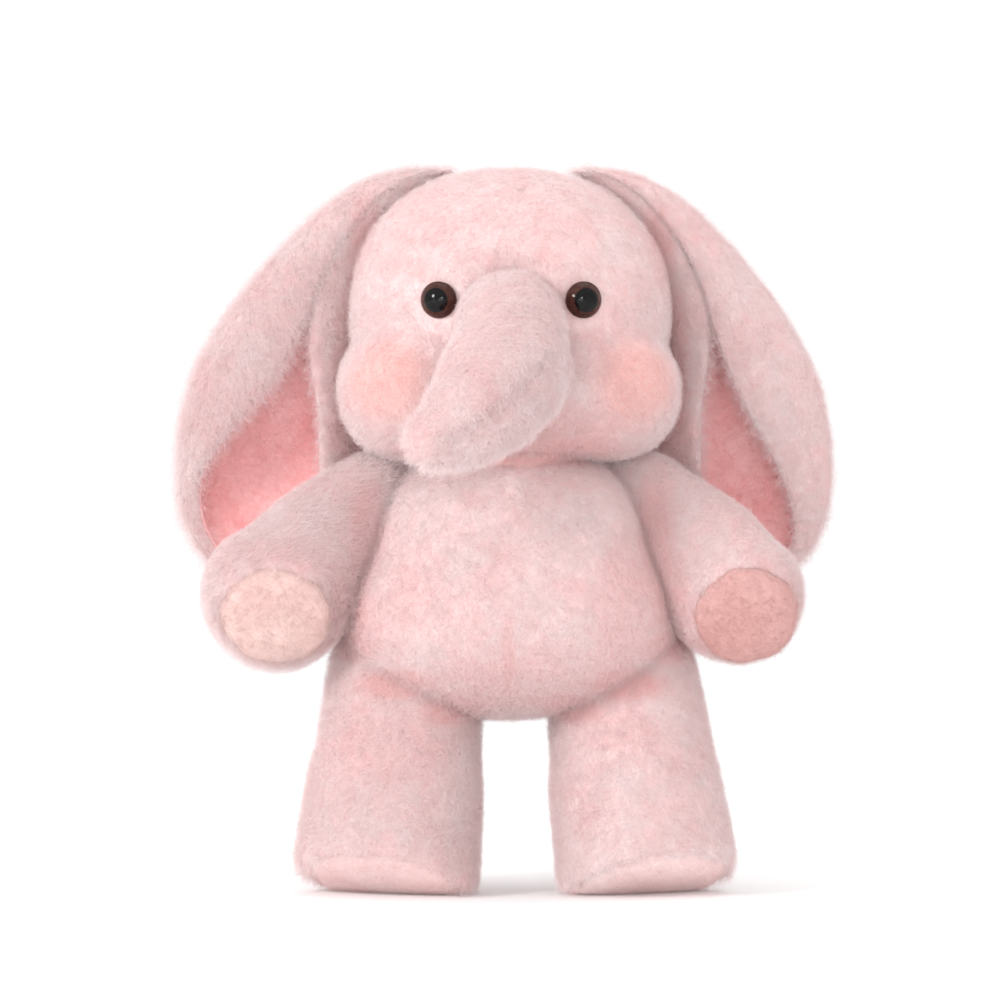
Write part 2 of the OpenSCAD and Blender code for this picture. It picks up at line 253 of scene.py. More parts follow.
def arm_field(s):
    bx, br = (92.5, 24.8) if s > 0 else (96, 26)
    def f(P):
        Q = [P[0] * s, P[1], P[2]]
        g = seg(Q, (47, -3, 173), (bx, -20, 123.5), 10.5, br)
        g = smin(g, ell(Q, (bx, -19.5, 123.5), (br, 25, br)), 6)
        g = smin(g, seg(Q, (58, -6, 165), (82, -14, 144), 13.5, 19), 10)
        g = smin(g, seg(Q, (62, -6, 150), (78, -12, 128), 11, 15), 12)
        c = np.array(HAND) + PAD_N * 17.5
        plane = (Q[0] - c[0]) * PAD_N[0] + (Q[1] - c[1]) * PAD_N[1] + (Q[2] - c[2]) * PAD_N[2]
        g = smax(g, plane, 5.5)
        # puckers that run in to the pad's seam
        u, v = pad_axes()
        du = (Q[0] - c[0]) * u[0] + (Q[1] - c[1]) * u[1] + (Q[2] - c[2]) * u[2]
        dv = (Q[0] - c[0]) * v[0] + (Q[1] - c[1]) * v[1] + (Q[2] - c[2]) * v[2]
        rr = np.sqrt(du ** 2 + dv ** 2); th = np.arctan2(dv, du)
        g = g + 0.55 * np.cos(th * 11 + 0.7 * np.sin(3 * th)) * np.exp(-((rr - 22) / 5) ** 2) * np.exp(-(np.minimum(plane, 0) / 9) ** 2)
        # the seam itself
        g = g + 1.7 * np.exp(-((rr - 19.4) / 1.9) ** 2) * np.exp(-(plane / 4) ** 2)
        # under-arm seam
        g = g + crease(Q, [(56, -2, 160), (72, -10, 128), (84, -14, 101)], 1.8, 1.0)
        return g + wob(P, 14, 0.35, 3.0 + s)
    return f


def pad_axes():
    u = np.cross(PAD_N, (0, 0, 1.0)); u /= np.linalg.norm(u)
    v = np.cross(u, PAD_N)
    return u, v


HIP = np.array((47.0, 3, 78)); LEG_D = np.array((5.0, -23, -75)); LEG_L = np.linalg.norm(LEG_D); LEG_N = LEG_D / LEG_L
FOOT = HIP + LEG_D


SOLE_N = np.array((0.17, -0.38, -0.908)); SOLE_N /= np.linalg.norm(SOLE_N)
HIPV = {1: np.array((46.0, 3, 92)), -1: np.array((43.0, 3, 92))}
SOLE_C = {1: np.array((56.5, -19.5, 3.5)), -1: np.array((51.5, -19.5, 3.5))}


def leg_frame():
    u = np.array((1.0, 0, 0)); u = u - (u @ SOLE_N) * SOLE_N; u /= np.linalg.norm(u)
    v = np.cross(SOLE_N, u)
    return u, v


def leg_field(s):
    A0, B0 = HIPV[s], SOLE_C[s]
    ax = (B0 - A0) / np.linalg.norm(B0 - A0)
    def f(P):
        Q = [P[0] * s, P[1], P[2]]
        g = seg(Q, A0, B0 + ax * 4, 30, 35.2)
        g = smin(g, seg(Q, A0 + ax * 52, A0 + ax * 80, 32.6, 34.4), 6)
        plane = sum((Q[i] - B0[i]) * SOLE_N[i] for i in range(3))
        g = smax(g, plane + 0.4, 5)
        u, v = leg_frame()
        du = sum((Q[i] - B0[i]) * u[i] for i in range(3)); dv = sum((Q[i] - B0[i]) * v[i] for i in range(3))
        rr = np.sqrt(du ** 2 + dv ** 2); th = np.arctan2(dv, du)
        g = g + 1.8 * np.exp(-((rr - 31.2) / 1.8) ** 2) * np.exp(-(plane / 4) ** 2)
        g = g + 0.7 * np.cos(th * 13 + 0.9 * np.sin(2 * th + s)) * np.exp(-((rr - 34) / 4) ** 2) * np.exp(-(np.minimum(plane, 0) / 8) ** 2)
        # the top of the leg is flattened under the belly
        g = g + 1.5 * np.exp(-((Q[2] - 112) / 12) ** 2)
        # inner and outer leg seams
        for a in (1, -1):
            g = g + crease(Q, [A0 + u * 31 * a + ax * 6, B0 + u * 35 * a], 1.8, 0.9)
        g = smax(g, 0.6 - P[2], 2.5)
        return g + wob(P, 16, 0.4, 5.0 + 2 * s)
    return f


def tail_field(P):
    f = path(P, [(0, 54, 119, 4.2), (0, 58.5, 117, 4.2), (0, 59.3, 104, 4.0), (0, 59.3, 91, 3.8)], 2)
    f = smin(f, ell(P, (0, 59.3, 81), (5.6, 5.6, 9.0)), 2.5)
    return f


# ---------------------------------------------------------------- ears
# z, inner x, outer x, middle y, half depth, inner angle, outer angle (left ear, right ear)
EAR = np.array([
  [299, 25, 39, 6, 5.5, 262, -95, -95], [296, 31, 54, 8, 7.4, 262, -95, -95], [287, 42, 71.5, 9, 9, 262, -96, -96], [273, 51.5, 87, 11, 10.5, 260, -98, -98], [259, 58.5, 99.5, 14, 12.2, 258, -101, -101],
  [245, 62.5, 110.5, 17, 14.5, 255, -104, -103], [232, 65, 119, 20, 16.5, 249, -106, -102], [218, 65, 126.5, 24, 18, 242, -101, -94], [204, 63, 131.3, 27, 18.4, 237, -92, -78],
  [190, 60, 134.2, 30, 18, 239, -79, -56], [176, 59, 135.3, 32, 17, 240, -66, -35], [162, 60, 134.3, 33.5, 15.5, 238, -54, -21], [150, 65, 130.5, 34.5, 13.2, 230, -42, -13],
  [141, 75, 125, 35, 10.5, 214, -32, -10], [134.5, 86, 119.5, 35.5, 8.5, 200, -24, -8]])
EAR_T = 7.0


def ear_rows(n):
    """EAR resampled smoothly to n rows."""
    m = len(EAR)
    t = np.linspace(0, m - 1, n)
    i = np.clip(t.astype(int), 0, m - 2); f = (t - i)[:, None]
    p0 = EAR[np.maximum(i - 1, 0)]; p1 = EAR[i]; p2 = EAR[i + 1]; p3 = EAR[np.minimum(i + 2, m - 1)]
    return 0.5 * ((2 * p1) + (-p0 + p2) * f + (2 * p0 - 5 * p1 + 4 * p2 - p3) * f ** 2 + (-p0 + 3 * p1 - 3 * p2 + p3) * f ** 3)


def ear_surface(s, n, k, off, trim=0.0, wave=0.6):
    """n rows by k points of the ear's sheet at a depth off below its outer face; trim draws it back from the hem."""
    R = ear_rows(n)
    out = np.zeros((n, k, 3))
    col = 6 if s > 0 else 7
    for j in range(n):
        z, xi, xo, cy, b, a0, a1, a2 = R[j]
        if s < 0:
            xo += 4.0 * min(1, j / n * 2)
        a1 = a1 if s > 0 else a2
        a = np.radians(np.linspace(a0 - trim, a1 + trim, k))
        cx, w = (xi + xo) / 2, (xo - xi) / 2
        ww = np.maximum(w - off, 0.5); bb = np.maximum(b - off, 0.5)
        x = cx + ww * np.cos(a); y = cy + bb * np.sin(a)
        u = np.linspace(0, 1, k); v = j / (n - 1)
        wv = wave * (np.sin(9 * v + 5 * u + s) + 0.6 * np.sin(17 * v - 4 * u + 2 * s)) * np.minimum(1, v * 4)
        # a line of stitching follows the hem, and the cloth swells on both sides of it
        if off < 3:
            d = (1 - u) * (R[j][2] - R[j][1]) * 2.2
            g = 1.5 * np.exp(-((d - 17) / 2.4) ** 2) - 0.9 * np.exp(-((d - 9) / 6) ** 2)
            x = x - g * np.cos(a); y = y - g * np.sin(a)
        y = y + wv * 0.7
        x = x + wv * 0.4
        out[j, :, 0] = x * s; out[j, :, 1] = y; out[j, :, 2] = z + 1.2 * np.sin(6 * u + s) * v
    return out


def closed_sheet(name, A, B, s, bare=None):
    """A closed mesh between two grids of points."""
    n, k, _ = A.shape
    v = np.concatenate([A.reshape(-1, 3), B.reshape(-1, 3)])
    N = n * k
    q = []
    for j in range(n - 1):
        for i in range(k - 1):
            a, b, c, d = j * k + i, j * k + i + 1, (j + 1) * k + i + 1, (j + 1) * k + i
            q.append((a, b, c, d)); q.append((N + d, N + c, N + b, N + a))
    for i in range(k - 1):
        q.append((i + 1, i, N + i, N + i + 1))
        a = (n - 1) * k + i
        q.append((a, a + 1, N + a + 1, N + a))
    for j in range(n - 1):
        a, d = j * k, (j + 1) * k
        q.append((a, d, N + d, N + a))
        b, c = j * k + k - 1, (j + 1) * k + k - 1
        q.append((c, b, N + b, N + c))
    o = obj(name, v, q)
    if bare is not None:
        # where the pile grows: all of the outer face, and the hem and rolled top of the inner one
        g = o.vertex_groups.new(name="pile")
        for j in range(n):
            for i in range(k):
                g.add([j * k + i], 1.0, "REPLACE")
                g.add([N + j * k + i], 1.0 if j < bare[0] else 0.3 if (i < bare[1] or i >= k - bare[1]) else 0.0, "REPLACE")
    recalc(o)
    return o


def subdivide(o, levels, smooth=True):
    m = o.modifiers.new("sub", "SUBSURF"); m.levels = levels; m.render_levels = levels
    bpy.context.view_layer.objects.active = o
    for x in bpy.context.selected_objects:
        x.select_set(False)
    o.select_set(True)
    bpy.ops.object.modifier_apply(modifier=m.name)
    o.select_set(False)
    o.data.polygons.foreach_set("use_smooth", [True] * len(o.data.polygons))
    return o


# ---------------------------------------------------------------- materials
def srgb(h):
    c = [int(h[i:i + 2], 16) / 255 for i in (1, 3, 5)]
    return tuple((x / 12.92 if x <= 0.04045 else ((x + 0.055) / 1.055) ** 2.4) for x in c)


class Nodes:
    def __init__(self, name):
        self.m = bpy.data.materials.new(name); self.m.use_nodes = True
        self.t = self.m.node_tree
        for n in list(self.t.nodes):
            self.t.nodes.remove(n)
        self.out = self.add("ShaderNodeOutputMaterial")

    def add(self, kind, **kw):
        n = self.t.nodes.new(kind)
        for k, v in kw.items():
            if k.startswith("i_"):
                n.inputs[k[2:].replace("_", " ")].default_value = v
            else:
                setattr(n, k, v)
        return n

    def link(self, a, b):
        self.t.links.new(a, b)

    def mix(self, fac, a, b, mode="MIX"):
        n = self.add("ShaderNodeMix", data_type="RGBA", blend_type=mode)
        for sock, val in ((n.inputs[0], fac), (n.inputs[6], a), (n.inputs[7], b)):
            if hasattr(val, "is_linked") or hasattr(val, "links"):
                self.link(val, sock)
            elif isinstance(val, tuple):
                sock.default_value = (*val, 1) if len(val) == 3 else val
            else:
                sock.default_value = val
        return n.outputs[2]

    def math(self, op, a, b=None, clamp=False):
        n = self.add("ShaderNodeMath", operation=op, use_clamp=clamp)
        for i, v in enumerate((a, b)):
            if v is None:
                continue
            if hasattr(v, "links"):
                self.link(v, n.inputs[i])
            else:
                n.inputs[i].default_value = v
        return n.outputs[0]

    def ramp(self, fac, stops):
        n = self.add("ShaderNodeValToRGB")
        el = n.color_ramp.elements
        while len(el) > 1:
            el.remove(el[-1])
        el[0].position, el[0].color = stops[0][0], (*stops[0][1], 1)
        for p, c in stops[1:]:
            e = el.new(p); e.color = (*c, 1)
        self.link(fac, n.inputs[0])
        return n.outputs[0]


def spot(N, co, centre, radii, power=1.0):
    """1 inside an ellipsoid in metres, fading softly to 0 outside it."""
    sub = N.add("ShaderNodeVectorMath", operation="SUBTRACT"); N.link(co, sub.inputs[0]); sub.inputs[1].default_value = centre
    div = N.add("ShaderNodeVectorMath", operation="DIVIDE"); N.link(sub.outputs[0], div.inputs[0]); div.inputs[1].default_value = radii
    ln = N.add("ShaderNodeVectorMath", operation="LENGTH"); N.link(div.outputs[0], ln.inputs[0])
    mr = N.add("ShaderNodeMapRange", interpolation_type="SMOOTHSTEP")
    mr.inputs[1].default_value = 0.45; mr.inputs[2].default_value = 1.15; mr.inputs[3].default_value = 1; mr.inputs[4].default_value = 0
    N.link(ln.outputs["Value"], mr.inputs[0])
    return mr.outputs[0]


def plush(name, light, shade, hair=False, blush_and_painted_shade=(), fine=1.0, tip=None):
    """Short soft pile: clumped colour, fine fibre bump and sheen."""
    N = Nodes(name)
    tc = N.add("ShaderNodeTexCoord"); co = tc.outputs["Object"]
    big = N.add("ShaderNodeTexNoise", i_Scale=38.0, i_Detail=3.0, i_Roughness=0.55); N.link(co, big.inputs["Vector"])
    mid = N.add("ShaderNodeTexNoise", i_Scale=190.0 * fine, i_Detail=4.0, i_Roughness=0.6); N.link(co, mid.inputs["Vector"])
    f1 = N.math("MULTIPLY", big.outputs[0], 0.55); f2 = N.math("MULTIPLY", mid.outputs[0], 0.45)
    fac = N.math("ADD", f1, f2)
    base = N.ramp(fac, [(0.36, shade), (0.62, light)])
    # cheek blush, and painted shade in the folds and creases, mixed in by position
    for centre, radii, colour, k in blush_and_painted_shade:
        g = N.math("MULTIPLY", spot(N, co, centre, radii), k)
        base = N.mix(g, base, colour)
    b = N.add("ShaderNodeBsdfPrincipled")
    b.inputs["Roughness"].default_value = 0.92
    b.inputs["Specular IOR Level"].default_value = 0.12
    if hair:
        hi = N.add("ShaderNodeHairInfo")
        rnd = N.math("MULTIPLY", hi.outputs["Random"], 0.12)
        up = N.math("MULTIPLY", hi.outputs["Intercept"], 0.50)
        k = N.math("ADD", rnd, up, True)
        base = N.mix(k, base, tip or (0.93, 0.862, 0.865))
    else:
        b.inputs["Sheen Weight"].default_value = 0.35
        b.inputs["Sheen Roughness"].default_value = 0.5
        b.inputs["Sheen Tint"].default_value = (1, 0.93, 0.93, 1)
        wide = N.add("ShaderNodeTexNoise", i_Scale=520.0, i_Detail=3.0); N.link(co, wide.inputs["Vector"])
        st = N.add("ShaderNodeMapping"); st.inputs["Scale"].default_value = (1400, 1400, 420); N.link(co, st.inputs["Vector"])
        fib = N.add("ShaderNodeTexNoise", i_Scale=1.0, i_Detail=3.0); N.link(st.outputs[0], fib.inputs["Vector"])
        hgt = N.math("ADD", N.math("MULTIPLY", wide.outputs[0], 0.6), N.math("MULTIPLY", fib.outputs[0], 0.5))
        bump = N.add("ShaderNodeBump"); bump.inputs["Strength"].default_value = 0.55; bump.inputs["Distance"].default_value = 0.0014
        N.link(hgt, bump.inputs["Height"]); N.link(bump.outputs[0], b.inputs["Normal"])
    N.link(base, b.inputs["Base Color"])
    N.link(b.outputs[0], N.out.inputs[0])
    return N.m


def velour(name, light, shade, hair=False, scale=1.0):
    """Short smooth velour, with a brushed grain and soft rubbed patches."""
    N = Nodes(name)
    tc = N.add("ShaderNodeTexCoord"); co = tc.outputs["Object"]
    big = N.add("ShaderNodeTexNoise", i_Scale=45.0, i_Detail=3.0); N.link(co, big.inputs["Vector"])
    fine = N.add("ShaderNodeTexNoise", i_Scale=900.0 * scale, i_Detail=3.0); N.link(co, fine.inputs["Vector"])
    fac = N.math("ADD", N.math("MULTIPLY", big.outputs[0], 0.7), N.math("MULTIPLY", fine.outputs[0], 0.3))
    base = N.ramp(fac, [(0.38, shade), (0.62, light)])
    b = N.add("ShaderNodeBsdfPrincipled")
    b.inputs["Roughness"].default_value = 0.85; b.inputs["Specular IOR Level"].default_value = 0.15
    if hair:
        hi = N.add("ShaderNodeHairInfo")
        base = N.mix(N.math("MULTIPLY", hi.outputs["Intercept"], 0.22), base, (1, 0.9, 0.9))
    else:
        b.inputs["Sheen Weight"].default_value = 0.5; b.inputs["Sheen Roughness"].default_value = 0.35; b.inputs["Sheen Tint"].default_value = (1, 0.86, 0.86, 1)
        hgt = N.math("ADD", N.math("MULTIPLY", big.outputs[0], 0.5), fine.outputs[0])
        bump = N.add("ShaderNodeBump"); bump.inputs["Strength"].default_value = 0.35; bump.inputs["Distance"].default_value = 0.0006
        N.link(hgt, bump.inputs["Height"]); N.link(bump.outputs[0], b.inputs["Normal"])
    N.link(base, b.inputs["Base Color"]); N.link(b.outputs[0], N.out.inputs[0])
    return N.m


FUR_L, FUR_S = (0.825, 0.676, 0.672), (0.82, 0.562, 0.556)
LIN_L, LIN_S = (0.99, 0.60, 0.60), (0.98, 0.49, 0.49)
PAD_L, PAD_S = (0.625, 0.365, 0.345), (0.585, 0.32, 0.30)
BL = (0.90, 0.46, 0.41)
y0 = YO / 1000
blush_and_painted_shade = [((-0.050, -0.040 + y0, 0.2105), (0.021, 0.030, 0.0195), BL, 0.55), ((0.051, -0.040 + y0, 0.2105), (0.021, 0.030, 0.0195), BL, 0.55)]
# painted shade: deeper pink spots where shade falls, under the chin and the trunk, in the creases between arms, body,
# legs, ears and head, and along the belly's seam and lower edge
PAINTED_SHADE = (0.80, 0.40, 0.385)
painted_shade_spots = [((0, -0.034, 0.1815), (0.062, 0.035, 0.0075), 0.6), ((0.026, -0.047, 0.191), (0.030, 0.018, 0.013), 0.30), ((-0.012, -0.098, 0.203), (0.010, 0.016, 0.017), 0.28)]
for sx in (1, -1):
    painted_shade_spots += [((sx * 0.059, -0.014, 0.150), (0.010, 0.040, 0.026), 0.5), ((sx * 0.066, -0.016, 0.120), (0.011, 0.040, 0.026), 0.5),
              ((sx * 0.068, -0.030, 0.101), (0.016, 0.040, 0.008), 0.5), ((sx * 0.047, -0.036, 0.0865), (0.020, 0.040, 0.008), 0.6), ((sx * 0.024, -0.036, 0.0765), (0.016, 0.040, 0.008), 0.6),
              ((sx * 0.060, 0.004, 0.262), (0.009, 0.024, 0.030), 0.5), ((sx * 0.067, 0.014, 0.222), (0.009, 0.022, 0.036), 0.5), ((sx * 0.066, 0.014, 0.190), (0.012, 0.022, 0.020), 0.5)]
painted_shade_spots += [((-0.001, -0.050, 0.100), (0.0035, 0.030, 0.022), 0.30), ((0, -0.045, 0.088), (0.040, 0.040, 0.016), 0.28),
          ((0.046, -0.030, 0.118), (0.018, 0.040, 0.034), 0.30), ((-0.046, -0.030, 0.118), (0.018, 0.040, 0.034), 0.16),
          ((-0.050, -0.020, 0.060), (0.030, 0.040, 0.022), 0.32), ((0.046, -0.020, 0.068), (0.026, 0.040, 0.012), 0.26)]
blush_and_painted_shade += [((c[0], c[1] + y0, c[2]), r, PAINTED_SHADE, k) for c, r, k in painted_shade_spots]
M_FUR = plush("plush", FUR_L, FUR_S, blush_and_painted_shade=blush_and_painted_shade)
M_FURH = plush("plush_pile", FUR_L, FUR_S, hair=True, blush_and_painted_shade=blush_and_painted_shade)
M_LIN = velour("ear_lining", LIN_L, LIN_S)
M_LINH = velour("ear_lining_pile", LIN_L, LIN_S, hair=True)
# painted light: the two pads are lit and shaded copies of one cloth; the pad at x < 0, on the key light's side, gets
# the paler copy
M_PAD = {1: velour("pad_cloth", PAD_L, PAD_S), -1: velour("pad_cloth_painted_lit", (0.70, 0.53, 0.50), (0.71, 0.50, 0.47))}
M_PADH = {1: velour("pad_cloth_pile", PAD_L, PAD_S, hair=True), -1: velour("pad_cloth_painted_lit_pile", (0.70, 0.53, 0.50), (0.71, 0.50, 0.47), hair=True)}
M_SOLE = velour("sole_cloth", (0.95, 0.76, 0.75), (0.92, 0.68, 0.665))
M_SOLEH = velour("sole_cloth_pile", (0.95, 0.76, 0.75), (0.92, 0.68, 0.665), hair=True)


def eye_mat(name, c0, c1, rough):
    N = Nodes(name)
    tc = N.add("ShaderNodeTexCoord")
    n = N.add("ShaderNodeTexNoise", i_Scale=420.0, i_Detail=4.0); N.link(tc.outputs["Object"], n.inputs["Vector"])
    c = N.ramp(n.outputs[0], [(0.35, c0), (0.65, c1)])
    b = N.add("ShaderNodeBsdfPrincipled")
    b.inputs["Roughness"].default_value = rough; b.inputs["IOR"].default_value = 1.5
    b.inputs["Specular IOR Level"].default_value = 0.22
    N.link(c, b.inputs["Base Color"]); N.link(b.outputs[0], N.out.inputs[0])
    return N.m


M_IRIS = eye_mat("eye_brown_plastic", srgb("#371d18"), srgb("#4a2b25"), 0.08)
M_PUPIL = eye_mat("eye_black_plastic", (0.002, 0.0015, 0.0015), (0.005, 0.004, 0.004), 0.06)
M_WASH = eye_mat("washer_plastic", srgb("#dcd9d2"), srgb("#eceae4"), 0.5)

# ---------------------------------------------------------------- pile
DENS = 1.0


def pile(o, hair_mat, count, length_mm, thick_mm, seed, children=14, group=None, lean=(0, 0, -1), lean_k=0.55, rough=0.008, clump=0.25, len_rand=0.25):
    """Short pile as strands that grow from the piece's faces."""
    o.data.materials.append(hair_mat)
    slot = len(o.data.materials)
    bpy.context.view_layer.objects.active = o
    m = o.modifiers.new("pile", "PARTICLE_SYSTEM")
    ps = m.particle_system; st = ps.settings
    ps.seed = seed
    st.type = "HAIR"; st.count = max(50, int(count * DENS)); st.hair_step = 3
    st.emit_from = "FACE"; st.use_even_distribution = True; st.distribution = "RAND"
    st.use_advanced_hair = True
    # a strand starts mostly along the normal, laid over a little
    st.hair_length = length_mm / 1000
    step = st.normal_factor
    st.object_align_factor = (lean[0] * lean_k * step, lean[1] * lean_k * step, lean[2] * lean_k * step)
    st.factor_random = 0.25 * step
    st.length_random = len_rand
    st.material = slot
    st.child_type = "INTERPOLATED"; st.child_percent = 1; st.rendered_child_count = children
    st.child_length = 1.0
    st.clump_factor = clump; st.clump_shape = 0.1
    st.roughness_1 = rough * 0.5; st.roughness_1_size = 0.6
    st.roughness_endpoint = rough; st.roughness_end_shape = 1.0
    st.roughness_2 = rough * 0.6; st.roughness_2_size = 0.4
    st.root_radius = 1.0; st.tip_radius = 0.25; st.radius_scale = thick_mm / 1000; st.shape = 0.1
    st.display_step = 2; st.render_step = 2
    st.use_close_tip = False
    if group:
        ps.vertex_group_length = group
        ps.vertex_group_density = group
    return ps


def group_from(o, name, fn):
    g = o.vertex_groups.new(name=name)
    co = np.array([v.co for v in o.data.vertices]) * 1000
    co[:, 1] -= YO
    w = np.clip(fn(co), 0, 1)
    for i, x in enumerate(w):
        g.add([i], float(x), "REPLACE")
    return name


H = 2.0
# ---------------------------------------------------------------- head
head = solid("head_plush", head_field, (-78, -66, 172), (78, 64, 306), H, inset=1.3)
head.data.materials.append(M_FUR)
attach(head, "head")
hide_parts("forehead_skin", "muzzle_skin", "head_back_skin", "head_stuffing", "eye_washer_left", "eye_washer_right")

trunk = solid("trunk_plush", trunk_field, (-50, -122, 162), (30, -6, 262), 1.8)
trunk.data.materials.append(M_FUR)
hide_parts("trunk_top_skin", "trunk_underside_skin", "trunk_stuffing")

torso = solid("torso_plush", torso_field, (-78, -70, 62), (78, 64, 196), H, inset=1.6)
torso.data.materials.append(M_FUR)
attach(torso, "torso")
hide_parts("torso_front_left_skin", "torso_front_right_skin", "torso_back_skin", "torso_stuffing")

neck = solid("neck_plush", lambda P: seg(P, (0, 0, 170), (0, 0, 188), 37, 36), (-44, -44, 126), (44, 44, 230), 3.0)
neck.data.materials.append(M_FUR)
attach(neck, "neck"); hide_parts("neck_stuffing")

NAMES = {1: "left", -1: "right"}
arms, legs, pads, soles, ears, linings = {}, {}, {}, {}, {}, {}
for s in (1, -1):
    nm = NAMES[s]
    lo = (26, -62, 84) if s > 0 else (-132, -62, 84); hi = (132, 20, 196) if s > 0 else (-26, 20, 196)
    a = solid(f"arm_{nm}_plush", arm_field(s), lo, hi, H)
    a.data.materials.append(M_FUR)
    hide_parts(f"arm_{nm}_skin", f"arm_{nm}_stuffing")
    arms[s] = a
    lo = (0, -68, -4) if s > 0 else (-98, -68, -4); hi = (98, 46, 122) if s > 0 else (0, 46, 122)
    g = solid(f"leg_{nm}_plush", leg_field(s), lo, hi, H)
    g.data.materials.append(M_FUR)
    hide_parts(f"leg_{nm}_skin", f"leg_{nm}_stuffing")
    legs[s] = g

    # pad: a puffed disc whose edge dips into its seam
    u, v = pad_axes(); c = np.array(HAND) + PAD_N * 17.0 + np.array((0, 0, -0.8))
    rings, spokes = 12, 60
    pts = []
    for r in range(rings + 1):
        rho = r / rings
        for k in range(spokes):
            th = 2 * math.pi * k / spokes
            rad = (20.8 + 0.35 * math.sin(5 * th + s) + 0.25 * math.sin(11 * th)) * rho
            hgt = 2.4 * (1 - rho ** 2.6) - 1.7 * rho ** 12 + 0.25 * math.sin(3 * th + s) * rho * (1 - rho) * 2 + 0.22 * math.cos(22 * th) * rho ** 6
            p = c + u * rad * (1.06 if s < 0 else 1.0) * math.cos(th) + v * 0.98 * rad * math.sin(th) + PAD_N * hgt
            pts.append((p[0] * s, p[1], p[2]))
    back = [(p[0], p[1] + 2.4 * 0.93, p[2] + 2.4 * 0.36) for p in pts]
    N0 = len(pts)
    fc = []
    for r in range(rings):
        for k in range(spokes):
            k2 = (k + 1) % spokes
            q = (r * spokes + k, r * spokes + k2, (r + 1) * spokes + k2, (r + 1) * spokes + k)
            if r == 0:
                continue
            fc.append(q); fc.append(tuple(N0 + i for i in reversed(q)))
    fc.append(tuple(spokes + k for k in range(spokes))); fc.append(tuple(N0 + spokes + k for k in reversed(range(spokes))))
    for k in range(spokes):
        k2 = (k + 1) % spokes; e = rings * spokes
        fc.append((e + k, e + k2, N0 + e + k2, N0 + e + k))
    keep = [i for i in range(2 * N0) if (i % N0) >= spokes]
    remap = {i: j for j, i in enumerate(keep)}
    allp = pts + back
    p = obj(f"arm_{nm}_pad_cloth", [allp[i] for i in keep], [tuple(remap[i] for i in f) for f in fc])
    recalc(p)
    p.data.materials.append(M_PAD[s])
    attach(p, f"arm_{nm}"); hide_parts(f"arm_{nm}_pad")
    pads[s] = p

    # sole: a disc on the leg's end that lies flat on the floor at the heel
    u, v = leg_frame(); c = SOLE_C[s] + SOLE_N * -0.2
    pts = []; back = []
    for r in range(rings + 1):
        rho = r / rings
        for k in range(spokes):
            th = 2 * math.pi * k / spokes
            rad = (31.6 + 0.5 * math.sin(4 * th + s) + 0.45 * math.sin(9 * th)) * rho
            hgt = 1.9 * (1 - rho ** 3) - 1.6 * rho ** 12 + 0.2 * math.cos(26 * th) * rho ** 6
            q = c + u * rad * math.cos(th) + v * rad * math.sin(th) + SOLE_N * hgt
            z = 0.3 + (math.log1p(math.exp((q[2] - 0.3) / 0.8)) * 0.8 if q[2] < 12 else q[2] - 0.3)
            pts.append((q[0] * s, q[1], z)); back.append((q[0] * s, q[1] + 0.7, z + 2.4))
    allp = pts + back
    p = obj(f"leg_{nm}_sole_cloth", [allp[i] for i in keep], [tuple(remap[i] for i in f) for f in fc])
    recalc(p)
    p.data.materials.append(M_SOLE)
    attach(p, f"leg_{nm}"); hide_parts(f"leg_{nm}_sole")
    soles[s] = p

    # ear
    rows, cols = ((34, 30))
    e = closed_sheet(f"ear_{nm}_plush", ear_surface(s, rows, cols, 0.0), ear_surface(s, rows, cols, EAR_T - 1.6), s, bare=(7, 1))
    subdivide(e, 2)
    e.data.materials.append(M_FUR)
    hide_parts(f"ear_{nm}_skin", f"ear_{nm}_wadding")
    ears[s] = e
    A = ear_surface(s, rows, cols, EAR_T - 2.6, trim=3.5)[5:]; B = ear_surface(s, rows, cols, EAR_T - 0.3, trim=3.5)[5:]
    l = closed_sheet(f"ear_{nm}_lining_cloth", A, B, s)
    subdivide(l, 2)
    l.data.materials.append(M_LIN)
    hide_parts(f"ear_{nm}_lining")
    linings[s] = l

tail = solid("tail_plush", tail_field, (-12, 44, 64), (12, 78, 128), 1.2)
tail.data.materials.append(M_FUR)
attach(tail, "tail"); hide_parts("tail_skin", "tail_tuft")

